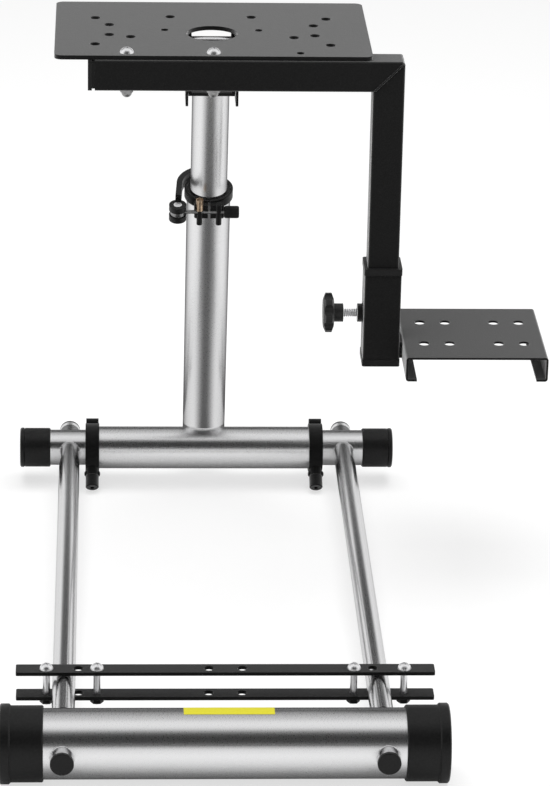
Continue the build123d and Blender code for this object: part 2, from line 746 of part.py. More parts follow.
mitre_plane = Plane(origin=(arm_x, arm_y, arm_z), x_dir=(0, 1, 0), z_dir=(1, 0, -1))
# What the elbow's rounded outer corner leaves out
elbow_plane = Plane(
    origin=(arm_x + arm_size / 2 - arm_elbow_radius, arm_y + arm_size / 2, plate_bottom - arm_elbow_radius),
    x_dir=(1, 0, 0),
    z_dir=(0, -1, 0),
)
with BuildPart() as elbow_cut:
    with BuildSketch(elbow_plane):
        Rectangle(arm_elbow_radius, arm_elbow_radius, align=(Align.MIN, Align.MIN))
        Circle(arm_elbow_radius, mode=Mode.SUBTRACT)
    extrude(amount=arm_size)

beam_start = post_x - beam_left
beam_length = arm_x + arm_size / 2 - beam_start
with BuildPart() as arm_beam:
    with BuildSketch(across(beam_start, arm_y, arm_z)):
        RectangleRounded(arm_size, arm_size, arm_corner)
        RectangleRounded(arm_bore, arm_bore, arm_corner - arm_wall, mode=Mode.SUBTRACT)
    extrude(amount=beam_length)
    split(bisect_by=mitre_plane, keep=Keep.BOTTOM)
    add(elbow_cut.part, mode=Mode.SUBTRACT)
    with BuildSketch(level(post_x, arm_y, plate_bottom)):
        with Locations((-beam_bolt_spacing, 0), (0, 0), (beam_bolt_spacing, 0)):
            Circle(bolt_d / 2 + bolt_fit)
    extrude(amount=-arm_size, mode=Mode.SUBTRACT)
keep(arm_beam.part, "arm_beam")

with BuildPart() as arm_upright:
    with BuildSketch(level(arm_x, arm_y, upright_bottom)):
        RectangleRounded(arm_size, arm_size, arm_corner)
        RectangleRounded(arm_bore, arm_bore, arm_corner - arm_wall, mode=Mode.SUBTRACT)
    extrude(amount=plate_bottom - upright_bottom)
    split(bisect_by=mitre_plane, keep=Keep.TOP)
    add(elbow_cut.part, mode=Mode.SUBTRACT)
keep(arm_upright.part, "arm_upright")

# Plug in the beam's open end, standing a little out of the tube
with BuildPart() as beam_plug:
    plug_inside = arm_bore - 2 * cap_fit
    with BuildSketch(across(beam_start - beam_plug_neck - beam_plug_head, arm_y, arm_z)):
        RectangleRounded(arm_size, arm_size, arm_corner)
    extrude(amount=beam_plug_head)
    with BuildSketch(across(beam_start - beam_plug_neck, arm_y, arm_z)):
        RectangleRounded(plug_inside, plug_inside, arm_corner - arm_wall)
    extrude(amount=beam_plug_neck + beam_plug_spigot)
keep(beam_plug.part, "beam_plug")

plate_bolt_length = plate_thickness + arm_size + nut_height + bolt_end
plate_bolt_xs = [post_x + place[0] for place in beam_bolt_places]
keep(Compound(children=[dome_bolt(level(x, arm_y, plate_top), plate_bolt_head_d, plate_bolt_length)
                        for x in plate_bolt_xs]), "plate_bolts")
beam_bottom = plate_bottom - arm_size
keep(Compound(children=[dome_nut(level(x, arm_y, beam_bottom)) for x in plate_bolt_xs]), "plate_nuts")


# Shifter mount, which slides on the upright

holder_inside = arm_size + 2 * slide_fit
lip_size = holder_size + 2 * holder_lip_proud
with BuildPart() as shifter_sleeve:
    with BuildSketch(level(arm_x, arm_y, holder_bottom)):
        RectangleRounded(holder_size, holder_size, arm_corner)
        RectangleRounded(holder_inside, holder_inside, arm_corner, mode=Mode.SUBTRACT)
    extrude(amount=holder_top - holder_bottom)
    with BuildSketch(across(holder_left, arm_y, knob_z)):
        Circle(knob_screw_d / 2 + bolt_fit)
    extrude(amount=holder_size / 2, mode=Mode.SUBTRACT)
keep(shifter_sleeve.part, "shifter_sleeve")

for name, bottom in (("sleeve_lip_top", holder_top), ("sleeve_lip_bottom", holder_bottom - holder_lip)):
    with BuildPart() as sleeve_lip:
        with BuildSketch(level(arm_x, arm_y, bottom)):
            RectangleRounded(lip_size, lip_size, arm_corner)
            RectangleRounded(holder_inside, holder_inside, arm_corner, mode=Mode.SUBTRACT)
        extrude(amount=holder_lip)
    keep(sleeve_lip.part, name)

# Threaded boss on the sleeve's left face
with BuildPart() as screw_boss:
    with BuildSketch(across(holder_left - boss_length, arm_y, knob_z)):
        Circle(boss_d / 2)
        Circle(knob_screw_d / 2 + pivot_fit, mode=Mode.SUBTRACT)
    extrude(amount=boss_length)
keep(screw_boss.part, "screw_boss")

# Star knob and its screw
hub_face = holder_left - boss_length - knob_screw_visible
knob_face = hub_face - knob_hub_length - knob_thickness
edge_start = (knob_thickness - knob_edge) / 2
knob_outline = [
    (0, 0),
    (0, knob_face_d / 2),
    (edge_start, knob_d / 2),
    (edge_start + knob_edge, knob_d / 2),
    (knob_thickness, knob_face_d / 2),
    (knob_thickness, 0),
]
with BuildPart() as clamp_knob:
    with BuildSketch(across(knob_face, arm_y, knob_z)):
        Circle(knob_d / 2)
        with PolarLocations(knob_d / 2 + knob_scallop_out, knob_lobes):
            Circle(knob_scallop_d / 2, mode=Mode.SUBTRACT)
    extrude(amount=knob_thickness)
    with BuildSketch(Plane(origin=(knob_face, arm_y, knob_z), x_dir=(1, 0, 0), z_dir=(0, -1, 0))):
        with BuildLine():
            Polyline(*knob_outline, close=True)
        make_face()
    revolve(axis=Axis((knob_face, arm_y, knob_z), (1, 0, 0)), mode=Mode.INTERSECT)
    with BuildSketch(across(knob_face + knob_thickness, arm_y, knob_z)):
        Circle(knob_hub_d / 2)
    extrude(amount=knob_hub_length)
keep(clamp_knob.part, "clamp_knob")

with BuildPart() as knob_screw:
    with BuildSketch(across(hub_face, arm_y, knob_z)):
        Circle(knob_screw_d / 2)
    extrude(amount=arm_x - arm_size / 2 - slide_fit - hub_face)
keep(knob_screw.part, "knob_screw")

# Spacer between the sleeve and the tray
with BuildPart() as tray_spacer:
    with BuildSketch(across(holder_right, arm_y, holder_bottom + spacer_rise + spacer_height / 2)):
        RectangleRounded(spacer_depth, spacer_height, spacer_corner)
    extrude(amount=spacer_thickness)
keep(tray_spacer.part, "tray_spacer")

# Shifter plate: sheet bent down at both sides and folded in along the lower edges
half_sheet = tray_thickness / 2
tray_profile = [
    (half_sheet + tray_lip, tray_flange - half_sheet),
    (half_sheet, tray_flange - half_sheet),
    (half_sheet, half_sheet),
    (tray_width - half_sheet, half_sheet),
    (tray_width - half_sheet, tray_flange - half_sheet),
    (tray_width - half_sheet - tray_lip, tray_flange - half_sheet),
]
with BuildPart() as shifter_plate:
    with BuildSketch(along(tray_left, arm_y - tray_depth / 2, tray_top)):
        with BuildLine():
            FilletPolyline(*tray_profile, radius=tray_bend)
        trace(line_width=tray_thickness)
    extrude(amount=tray_depth)
    with BuildSketch(level(tray_left + tray_width / 2, arm_y, tray_top)):
        with GridLocations(tray_hole_outer, tray_hole_rows, 2, 2):
            Circle(tray_hole_d / 2)
        with GridLocations(tray_hole_inner, tray_hole_rows, 2, 2):
            Circle(tray_hole_d / 2)
    extrude(amount=-2 * tray_thickness, mode=Mode.SUBTRACT)
keep(shifter_plate.part, "shifter_plate")
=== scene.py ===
import json
import math

import bmesh
import bpy
from mathutils import Matrix, Vector


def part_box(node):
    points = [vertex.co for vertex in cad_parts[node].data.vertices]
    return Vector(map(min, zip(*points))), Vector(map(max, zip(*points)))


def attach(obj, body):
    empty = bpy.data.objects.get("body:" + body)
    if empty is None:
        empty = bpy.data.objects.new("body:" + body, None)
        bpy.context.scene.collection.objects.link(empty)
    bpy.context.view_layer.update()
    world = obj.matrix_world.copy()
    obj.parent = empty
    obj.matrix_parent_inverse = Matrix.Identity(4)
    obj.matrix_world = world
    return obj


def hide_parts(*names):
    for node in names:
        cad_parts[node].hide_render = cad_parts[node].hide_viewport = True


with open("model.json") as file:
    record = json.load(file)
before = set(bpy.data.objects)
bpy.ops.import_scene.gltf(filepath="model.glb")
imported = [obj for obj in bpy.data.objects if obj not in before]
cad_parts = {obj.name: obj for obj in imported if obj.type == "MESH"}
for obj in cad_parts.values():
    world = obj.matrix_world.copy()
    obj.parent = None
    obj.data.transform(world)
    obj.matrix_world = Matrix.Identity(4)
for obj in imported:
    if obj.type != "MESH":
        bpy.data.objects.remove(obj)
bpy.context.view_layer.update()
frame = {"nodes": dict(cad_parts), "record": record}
nodes = frame["nodes"]
scene = bpy.context.scene

# Photograph's camera, placed from the point on the floor below the middle of the front tube
PHOTO_HEIGHT_PX = 786
FOCAL_PX = 3750
SENSOR_MM = 36.0
CAMERA_CLIP_END = 50
CAMERA_PLACE = Vector((-0.1275, -3.5649, 1.8944))
CAMERA_PITCH = math.radians(22.08)
CAMERA_YAW = math.radians(2.79)
CAMERA_ROLL = math.radians(1.16)

# Post's line: its lean from upright, and how far its axis lies behind the rear tube's axis
POST_LEAN = math.radians(15)
POST_OFFSET = 0.030


def middle(node):
    low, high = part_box(node)
    return (low + high) / 2


def half_size(node):
    low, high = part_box(node)
    return (high - low) / 2


floor_mark = Vector((middle("front_tube").x, middle("front_tube").y, 0))
post_foot = middle("rear_tube") + Vector((middle("outer_post").x - middle("rear_tube").x, POST_OFFSET, 0))
post_up = Vector((0, -math.sin(POST_LEAN), math.cos(POST_LEAN)))


def on_post(height):
    """Point of the post's axis at a height above the floor."""
    return post_foot + post_up * ((height - post_foot.z) / post_up.z)


def add_camera():
    pitch_cos, pitch_sin = math.cos(CAMERA_PITCH), math.sin(CAMERA_PITCH)
    ahead = Vector((math.sin(CAMERA_YAW), math.cos(CAMERA_YAW), 0))
    level_right = Vector((math.cos(CAMERA_YAW), -math.sin(CAMERA_YAW), 0))
    forward = ahead * pitch_cos - Vector((0, 0, pitch_sin))
    level_up = ahead * pitch_sin + Vector((0, 0, pitch_cos))
    right = level_right * math.cos(CAMERA_ROLL) + level_up * math.sin(CAMERA_ROLL)
    up = level_up * math.cos(CAMERA_ROLL) - level_right * math.sin(CAMERA_ROLL)
    data = bpy.data.cameras.new("photo_camera")
    data.sensor_width = SENSOR_MM
    data.lens = FOCAL_PX * SENSOR_MM / PHOTO_HEIGHT_PX
    data.clip_end = CAMERA_CLIP_END
    camera = bpy.data.objects.new("photo_camera", data)
    scene.collection.objects.link(camera)
    turn = Matrix((right, up, -forward)).transposed().to_4x4()
    camera.matrix_world = Matrix.Translation(floor_mark + CAMERA_PLACE) @ turn
    scene.camera = camera


# Shader nodes


def new_material(name):
    material = bpy.data.materials.new(name)
    material.use_nodes = True
    tree = material.node_tree
    return material, tree, tree.nodes["Principled BSDF"]


def add_noise(tree, scale, detail):
    """Noise in the object's own coordinates, which are the frame's; scale is in cells to the metre."""
    place = tree.nodes.new("ShaderNodeTexCoord")
    noise = tree.nodes.new("ShaderNodeTexNoise")
    noise.inputs["Scale"].default_value = scale
    noise.inputs["Detail"].default_value = detail
    tree.links.new(place.outputs["Object"], noise.inputs["Vector"])
    return noise.outputs["Fac"]


def add_ramp(tree, factor, span, low, high):
    """Colour that goes from low to high while the factor goes over the span."""
    ramp = tree.nodes.new("ShaderNodeValToRGB")
    for element, position, colour in zip(ramp.color_ramp.elements, span, (low, high)):
        element.position = position
        element.color = (*colour, 1)
    tree.links.new(factor, ramp.inputs["Fac"])
    return ramp.outputs["Color"]


def add_math(tree, operation, *values):
    node = tree.nodes.new("ShaderNodeMath")
    node.operation = operation
    for socket, value in zip(node.inputs, values):
        if isinstance(value, (int, float)):
            socket.default_value = value
        else:
            tree.links.new(value, socket)
    return node.outputs["Value"]


def add_product(tree, first, *others):
    for other in others:
        first = add_math(tree, "MULTIPLY", first, other)
    return first


def add_rest(tree, value):
    """What the value leaves of 1."""
    return add_math(tree, "SUBTRACT", 1.0, value)


def add_fade(tree, value, start, end):
    """0 before start and 1 after end, with a smooth change between."""
    fade = tree.nodes.new("ShaderNodeMapRange")
    fade.interpolation_type = "SMOOTHSTEP"
    fade.inputs["From Min"].default_value = start
    fade.inputs["From Max"].default_value = end
    tree.links.new(value, fade.inputs["Value"])
    return fade.outputs["Result"]


def add_rounding(tree, radius):
    """Mask that is above 0 on the solid's sharp edges only, and the normal that rounds them."""
    bevel = tree.nodes.new("ShaderNodeBevel")
    bevel.inputs["Radius"].default_value = radius
    geometry = tree.nodes.new("ShaderNodeNewGeometry")
    dot = tree.nodes.new("ShaderNodeVectorMath")
    dot.operation = "DOT_PRODUCT"
    tree.links.new(bevel.outputs["Normal"], dot.inputs[0])
    tree.links.new(geometry.outputs["Normal"], dot.inputs[1])
    return add_rest(tree, dot.outputs["Value"]), bevel.outputs["Normal"]


def add_mix(tree, factor, first, second):
    mix = tree.nodes.new("ShaderNodeMix")
    mix.data_type = "RGBA"
    tree.links.new(factor, mix.inputs["Factor"])
    tree.links.new(first, mix.inputs["A"])
    mix.inputs["B"].default_value = (*second, 1)
    return mix.outputs["Result"]


def add_mix_shader(tree, factor, first, second):
    mix = tree.nodes.new("ShaderNodeMixShader")
    if isinstance(factor, float):
        mix.inputs["Fac"].default_value = factor
    else:
        tree.links.new(factor, mix.inputs["Fac"])
    tree.links.new(first, mix.inputs[1])
    tree.links.new(second, mix.inputs[2])
    return mix.outputs["Shader"]


# Looks

NOISE_SPAN = (0.3, 0.7)
COAT_SPAN = (0.35, 0.7)
COAT_EDGE_RADIUS = 0.0007
# Paler colour along the coats' edges: partly wear, partly a painted edge highlight
COAT_WEAR_HIGHLIGHT_FROM, COAT_WEAR_HIGHLIGHT_FULL = 0.02, 0.3
COAT_BUMP = 0.5
COAT_SHEEN_ROUGHNESS = 0.44
STICKER_GRAIN = 600
STICKER_YELLOWS = (0.72, 0.66, 0.025), (0.77, 0.71, 0.035)
STICKER_ROUGHNESS = 0.45


def grey(value):
    return (value, value, value)


def metal(name, low, high, roughness, grain, edge=1.0):
    """Bare metal with a fine grain in its colour and roughness; edge is its tint at a grazing angle."""
    material, tree, shader = new_material(name)
    shader.inputs["Metallic"].default_value = 1.0
    shader.inputs["Specular Tint"].default_value = (*grey(edge), 1)
    speck = add_noise(tree, grain, detail=3)
    tree.links.new(add_ramp(tree, speck, NOISE_SPAN, low, high), shader.inputs["Base Color"])
    smooth, rough = roughness
    tree.links.new(add_ramp(tree, speck, NOISE_SPAN, grey(smooth), grey(rough)), shader.inputs["Roughness"])
    return material


def coat(name, low, high, worn_and_highlight, roughness, grain, grain_height, specular, sheen):
    """Black finish with a fine grain, a little paler along its edges, partly as wear and partly as a painted
    edge highlight.
    """
    material, tree, shader = new_material(name)
    shader.inputs["Roughness"].default_value = roughness
    shader.inputs["Specular IOR Level"].default_value = specular
    shader.inputs["Sheen Weight"].default_value = sheen
    shader.inputs["Sheen Roughness"].default_value = COAT_SHEEN_ROUGHNESS
    speck = add_noise(tree, grain, detail=2)
    edge, rounded = add_rounding(tree, COAT_EDGE_RADIUS)
    # Paler edge colour, partly wear and partly a painted highlight along the sharp edges
    wear_highlight_part = add_fade(tree, edge, COAT_WEAR_HIGHLIGHT_FROM, COAT_WEAR_HIGHLIGHT_FULL)
    colour = add_mix(tree, wear_highlight_part, add_ramp(tree, speck, COAT_SPAN, grey(low), grey(high)), grey(worn_and_highlight))
    tree.links.new(colour, shader.inputs["Base Color"])
    bump = tree.nodes.new("ShaderNodeBump")
    bump.inputs["Strength"].default_value = COAT_BUMP
    bump.inputs["Distance"].default_value = grain_height
    tree.links.new(speck, bump.inputs["Height"])
    tree.links.new(rounded, bump.inputs["Normal"])
    tree.links.new(bump.outputs["Normal"], shader.inputs["Normal"])
    return material


def sticker_look():
    material, tree, shader = new_material("sticker_look")
    shader.inputs["Roughness"].default_value = STICKER_ROUGHNESS
    colour = add_ramp(tree, add_noise(tree, STICKER_GRAIN, detail=2), NOISE_SPAN, *STICKER_YELLOWS)
    tree.links.new(colour, shader.inputs["Base Color"])
    return material


TUBE_STEEL = (0.76, 0.76, 0.765), (0.79, 0.79, 0.795)
THIN_STEEL = (0.78, 0.78, 0.785), (0.81, 0.81, 0.815)
BRIGHT_ZINC = (0.80, 0.80, 0.81), (0.92, 0.92, 0.93)
# Zinc painted darker, as painted shade, for the nuts under the beam and the bolt inside the clamp
SHADED_ZINC = grey(0.22), grey(0.34)
BRASS = (0.50, 0.36, 0.24), (0.66, 0.50, 0.36)

looks = {
    "polished_tube": metal("polished_tube_look", *TUBE_STEEL, roughness=(0.27, 0.29), grain=900, edge=0.5),
    "post_tube": metal("post_tube_look", *TUBE_STEEL, roughness=(0.27, 0.29), grain=900, edge=0.05),
    "thin_tube": metal("thin_tube_look", *THIN_STEEL, roughness=(0.17, 0.19), grain=900, edge=0.75),
    "black_coat": coat(
        "black_coat_look", low=0.002, high=0.006, worn_and_highlight=0.014, roughness=0.5, grain=600,
        grain_height=0.0005, specular=0.06, sheen=1.0),
    "dull_coat": coat(
        "dull_coat_look", low=0.002, high=0.005, worn_and_highlight=0.010, roughness=0.5, grain=700,
        grain_height=0.0002, specular=0.06, sheen=0.55),
    "black_plastic": coat(
        "black_plastic_look", low=0.006, high=0.010, worn_and_highlight=0.022, roughness=0.42, grain=400,
        grain_height=0.0001, specular=0.22, sheen=0.12),
    "knob_plastic": coat(
        "knob_plastic_look", low=0.016, high=0.026, worn_and_highlight=0.050, roughness=0.45, grain=500,
        grain_height=0.00015, specular=0.25, sheen=0.15),
    "zinc": metal("zinc_look", *BRIGHT_ZINC, roughness=(0.30, 0.40), grain=300),
    "shaded_zinc": metal("shaded_zinc_look", *SHADED_ZINC, roughness=(0.26, 0.36), grain=300),
    "brass_pin": metal("brass_look", *BRASS, roughness=(0.25, 0.35), grain=300),
    "sticker": sticker_look(),
}

# Nodes that look a little different from the rest of their slot
own_looks = {
    "thin_tube": ("side_tube_left", "side_tube_right"),
    "post_tube": ("outer_post", "inner_post"),
    "dull_coat": (
        "pedal_bar_upper", "pedal_bar_lower", "pedal_nuts", "collar_left", "collar_right", "clamp_ring",
        "clamp_pins"),
    # Darker zinc here is painted shade, under the beam and inside the clamp
    "shaded_zinc": ("clamp_bolt", "plate_nuts"),
    "knob_plastic": ("clamp_knob",),
}


def paint(piece, look):
    piece.data.materials.clear()
    piece.data.materials.append(looks[look])


for entry in frame["record"]["subparts"]:
    paint(nodes[entry["node"]], entry["material_slot"])
for own_look, names in own_looks.items():
    for name in names:
        paint(nodes[name], own_look)


# Meshes, in the frame's metres

SHARP_ANGLE = math.radians(35)
MERGE_DISTANCE = 1e-6
THREAD_SEGMENTS = 24
THREAD_ROWS_PER_TURN = 6
BEAD_SIDES = 8
BEAD_RIPPLE = 0.18
BEAD_RIPPLE_POINTS = 4
BEAD_SIDEWAYS = Vector((0.3, 0.5, 0.8))
SEAM_STEP = 0.001


def add_piece(mesh, name, look, body):
    bmesh.ops.recalc_face_normals(mesh, faces=mesh.faces)
    data = bpy.data.meshes.new(name)
    mesh.to_mesh(data)
    mesh.free()
    piece = bpy.data.objects.new(name, data)
    scene.collection.objects.link(piece)
    paint(piece, look)
    data.set_sharp_from_angle(angle=SHARP_ANGLE)
    data.shade_smooth()
    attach(piece, body)
    return piece


def cut(piece, cutter_mesh):
    """Cuts a mesh out of a piece."""
    data = bpy.data.meshes.new("cutter")
    bmesh.ops.recalc_face_normals(cutter_mesh, faces=cutter_mesh.faces)
    cutter_mesh.to_mesh(data)
    cutter_mesh.free()
    cutter = bpy.data.objects.new("cutter", data)
    scene.collection.objects.link(cutter)
    modifier = piece.modifiers.new("recess", "BOOLEAN")
    modifier.object = cutter
    modifier.operation = "DIFFERENCE"
    modifier.solver = "EXACT"
    bpy.context.view_layer.update()
    cut_data = bpy.data.meshes.new_from_object(piece.evaluated_get(bpy.context.evaluated_depsgraph_get()))
    piece.modifiers.clear()
    piece.data = cut_data
    bpy.data.objects.remove(cutter)


def join_rings(mesh, rings, close_ends=True, close_path=False):
    """Skin over rings of points that all have the same count."""
    loops = [[mesh.verts.new(point) for point in ring] for ring in rings]
    pairs = list(zip(loops, loops[1:]))
    if close_path:
        pairs.append((loops[-1], loops[0]))
    for first, second in pairs:
        for i in range(len(first)):
            j = (i + 1) % len(first)
            mesh.faces.new((first[i], first[j], second[j], second[i]))
    if close_ends and not close_path:
        mesh.faces.new(loops[0])
        mesh.faces.new(loops[-1])


def frame_on(origin, axis, side):
    """Matrix whose z is the axis and whose x is as near to side as it can be."""
    z = Vector(axis).normalized()
    x = (Vector(side) - z * z.dot(Vector(side))).normalized()
    y = z.cross(x)
    turn = Matrix((x, y, z)).transposed().to_4x4()
    return Matrix.Translation(origin) @ turn


def frame_along_x(node):
    """Matrix at the middle of a node's left end, whose z runs to the right."""
    centre = middle(node)
    return frame_on((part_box(node)[0].x, centre.y, centre.z), (1, 0, 0), (0, 1, 0))


def ring_at(place, radii, height):
    count = len(radii)
    angles = [2 * math.pi * i / count for i in range(count)]
    return [place @ Vector((r * math.cos(a), r * math.sin(a), height)) for r, a in zip(radii, angles)]


def lathe(mesh, place, profile, segments=32):
    """Solid of revolution: (radius, height) pairs along the z of place."""
    join_rings(mesh, [ring_at(place, [radius] * segments, height) for radius, height in profile])


def threaded_rod(mesh, place, radius, length, pitch, depth):
    rows = int(length / pitch * THREAD_ROWS_PER_TURN)
    rings = []
    for row in range(rows + 1):
        height = length * row / rows
        radii = []
        for i in range(THREAD_SEGMENTS):
            phase = (height / pitch + i / THREAD_SEGMENTS) % 1
            radii.append(radius - depth * abs(2 * phase - 1))
        rings.append(ring_at(place, radii, height))
    join_rings(mesh, rings)


def bead(mesh, path, width, closed=False, ripple=BEAD_RIPPLE):
    """Weld bead along a path of points, with the ripples that a weld has."""
    count = len(path)
    rings = []
    for i, point in enumerate(path):
        before = path[i - 1] if closed or i else path[i]
        after = path[(i + 1) % count] if closed or i < count - 1 else path[i]
        swell = 1 + ripple * math.sin(2 * math.pi * i / BEAD_RIPPLE_POINTS)
        place = frame_on(point, after - before, BEAD_SIDEWAYS)
        rings.append(ring_at(place, [width / 2 * swell] * BEAD_SIDES, 0))
    join_rings(mesh, rings, close_path=closed)


def line_of(first, last):
    count = max(2, int((last - first).length / SEAM_STEP))
    return [first.lerp(last, i / count) for i in range(count + 1)]


def loose_pieces(node):
    """(lowest corner, highest corner) of each separate solid in a CAD node, from left to right."""
    mesh = bmesh.new()
    mesh.from_mesh(nodes[node].data)
    mesh.transform(nodes[node].matrix_world)
    bmesh.ops.remove_doubles(mesh, verts=mesh.verts, dist=MERGE_DISTANCE)
    left = set(mesh.verts)
    boxes = []
    while left:
        group = [left.pop()]
        for vert in group:
            for edge in vert.link_edges:
                other = edge.other_vert(vert)
                if other in left:
                    left.remove(other)
                    group.append(other)
        points = [vert.co for vert in group]
        low = Vector([min(p[k] for p in points) for k in range(3)])
        high = Vector([max(p[k] for p in points) for k in range(3)])
        boxes.append((low, high))
    mesh.free()
    return sorted(boxes, key=lambda pair: pair[0].x)


# Bolts, screw and nut

HEAD_HEIGHT = 0.0064
HEAD_SEGMENTS = 40
DOME_STEPS = 12
DOME_TIP_RADIUS = 0.0003
SHANK_RADIUS = 0.004
SHANK_CHAMFER = 0.0008
RECESS_LENGTH = 0.0066
RECESS_WIDTH = 0.0012
RECESS_DEPTH = 0.0016
RECESS_TURN = math.radians(20)
THREAD_PITCH = 0.0025
THREAD_DEPTH = 0.001
KNURL_RIBS = 22
KNURL_PROFILE = (1, 1, 0.93, 0.93)
KNURL_END_SHARE = 0.86
KNURL_CHAMFER_SHARE = 0.1


def cross_outline(place, height):
    """Outline of a cross recess at a height above the head's top."""
    long, short = RECESS_LENGTH / 2, RECESS_WIDTH / 2
    arm = [Vector((long, -short, height)), Vector((long, short, height)), Vector((short, short, height))]
    turns = [place @ Matrix.Rotation(math.pi / 2 * quarter, 4, "Z") for quarter in range(4)]
    return [turn @ point for turn in turns for point in arm]


def bolt_profile(low_z, high_z, head_radius):
    """(radius, height) pairs of a dome head bolt."""
    seat = high_z - HEAD_HEIGHT
    sphere = (head_radius ** 2 + HEAD_HEIGHT ** 2) / (2 * HEAD_HEIGHT)
    profile = [
        (SHANK_RADIUS - SHANK_CHAMFER, low_z), (SHANK_RADIUS, low_z + SHANK_CHAMFER), (SHANK_RADIUS, seat),
        (head_radius, seat)]
    for step in range(1, DOME_STEPS):
        height = HEAD_HEIGHT * step / DOME_STEPS
        from_centre = sphere - HEAD_HEIGHT + height
        profile.append((math.sqrt(sphere ** 2 - from_centre ** 2), seat + height))
    return profile + [(DOME_TIP_RADIUS, high_z)]


def cross_bolts(node, body):
    """Dome head bolts with a cross recess, in the place of a node's plain ones."""
    mesh = bmesh.new()
    cutter = bmesh.new()
    for low, high in loose_pieces(node):
        centre = (low + high) / 2
        profile = bolt_profile(low.z, high.z, (high.x - low.x) / 2)
        lathe(mesh, Matrix.Translation((centre.x, centre.y, 0)), profile, HEAD_SEGMENTS)
        place = Matrix.Translation((centre.x, centre.y, high.z)) @ Matrix.Rotation(RECESS_TURN, 4, "Z")
        join_rings(cutter, [cross_outline(place, height) for height in (-RECESS_DEPTH, RECESS_DEPTH)])
    piece = add_piece(mesh, node + "_recessed", "zinc", body)
    cut(piece, cutter)
    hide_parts(node)


def knob_thread():
    """Threaded screw of the star knob, in the place of the plain one."""
    half = half_size("knob_screw")
    mesh = bmesh.new()
    threaded_rod(mesh, frame_along_x("knob_screw"), half.z, 2 * half.x, THREAD_PITCH, THREAD_DEPTH)
    piece = add_piece(mesh, "knob_screw_thread", "zinc", "knob")
    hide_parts("knob_screw")


def knurled_nut():
    """Clamp nut with ribs round it, in the place of the plain one."""
    half = half_size("clamp_nut")
    ribbed = [half.z * share for share in KNURL_PROFILE * KNURL_RIBS]
    plain = [half.z * KNURL_END_SHARE] * len(ribbed)
    rows = ((plain, 0), (ribbed, KNURL_CHAMFER_SHARE), (ribbed, 1 - KNURL_CHAMFER_SHARE), (plain, 1))
    place = frame_along_x("clamp_nut")
    mesh = bmesh.new()
    join_rings(mesh, [ring_at(place, radii, 2 * half.x * share) for radii, share in rows])
    piece = add_piece(mesh, "clamp_nut_knurled", "black_plastic", "lower_post")
    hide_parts("clamp_nut")


# Sticker, welds and collar studs

STICKER_LEFT, STICKER_RIGHT = -0.044, 0.053
STICKER_FRONT, STICKER_BACK = -0.006, 0.022
STICKER_GAP, STICKER_TOP = 0.00002, 0.00015
STICKER_STEPS = 24
JOINT_POINTS = 48
POST_SEAM_STEPS = 120
TUBE_WELD_WIDTH = 0.0014
POST_WELD_WIDTH = 0.0016
MITRE_WELD_WIDTH = 0.0022
MITRE_WELD_RIPPLE = 0.3
MITRE_WELD_INSET_SHARE = 0.06
EAR_WELD_WIDTH = 0.003
EAR_WELD_INSET = 0.003
MOUNT_WELD_WIDTH = 0.002
BOSS_SEAM_POINTS = 60
BOSS_SEAM_START = Vector((0, 1, 0.2))
SPACER_WELD_INSET = 0.005
COLLAR_BOSS_ANGLE = math.radians(50)
COLLAR_STUD_REACH = 0.0375
COLLAR_STUD_RADIUS = 0.0036
COLLAR_STUD_INNER = 0.0066
COLLAR_STUD_OUTER = 0.0100
COLLAR_STUD_SHOULDER_SHARE = 0.5
COLLAR_STUD_DOME_SHARE = 0.7
COLLAR_STUD_DOME_DROP = 0.0004
COLLAR_STUD_TIP_RADIUS = 0.0005


def sticker():
    """Plain yellow sticker over the top of the front tube."""
    left, right = floor_mark.x + STICKER_LEFT, floor_mark.x + STICKER_RIGHT
    tube, radius = middle("front_tube"), half_size("front_tube").z
    inner, outer = radius + STICKER_GAP, radius + STICKER_TOP
    rings = []
    for step in range(STICKER_STEPS + 1):
        angle = math.asin((STICKER_FRONT + (STICKER_BACK - STICKER_FRONT) * step / STICKER_STEPS) / radius)
        rise, run = math.cos(angle), math.sin(angle)
        rings.append([
            Vector((x, tube.y + r * run, tube.z + r * rise))
            for x, r in ((left, inner), (right, inner), (right, outer), (left, outer))
        ])
    mesh = bmesh.new()
    join_rings(mesh, rings)
    add_piece(mesh, "plain_sticker", "sticker", "base")


def tube_joint(side_tube, cross_tube, sign):
    """Points round the seam where a side tube enters a cross tube, on its front (-1) or its back (1)."""
    tube, radius = middle(cross_tube), half_size(cross_tube).z
    entry, side_radius = middle(side_tube), half_size(side_tube).z
    points = []
    for step in range(JOINT_POINTS):
        angle = 2 * math.pi * step / JOINT_POINTS
        x = entry.x + side_radius * math.cos(angle)
        up = entry.z - tube.z + side_radius * math.sin(angle)
        points.append(Vector((x, tube.y + sign * math.sqrt(radius ** 2 - up ** 2), tube.z + up)))
    return points


def tube_welds():
    """Seams of the side tubes on both sides of the front and rear tubes."""
    mesh = bmesh.new()
    for side_tube in ("side_tube_left", "side_tube_right"):
        for cross_tube in ("front_tube", "rear_tube"):
            for sign in (-1, 1):
                bead(mesh, tube_joint(side_tube, cross_tube, sign), TUBE_WELD_WIDTH, closed=True)
    add_piece(mesh, "side_tube_welds", "polished_tube", "base")


def post_weld():
    """Seam where the front half of the post's foot meets the pivot sleeve, which is as wide as the post."""
    radius = half_size("pivot_sleeve").z
    axis = middle("pivot_sleeve")
    post_side = Vector((1, 0, 0))
    post_back = Vector((0, math.cos(POST_LEAN), math.sin(POST_LEAN)))
    path = []
    for step in range(POST_SEAM_STEPS + 1):
        angle = math.pi * (step / POST_SEAM_STEPS - 1)
        start = post_foot + (post_side * math.cos(angle) + post_back * math.sin(angle)) * radius
        from_axis = start - axis
        along = from_axis.dot(post_up)
        level = Vector((0, from_axis.y, from_axis.z))
        inside = along ** 2 - level.length_squared + radius ** 2
        if inside > 0:
            path.append(start + post_up * (math.sqrt(inside) - along))
    mesh = bmesh.new()
    bead(mesh, path, POST_WELD_WIDTH)
    add_piece(mesh, "post_weld", "polished_tube", "lower_post")


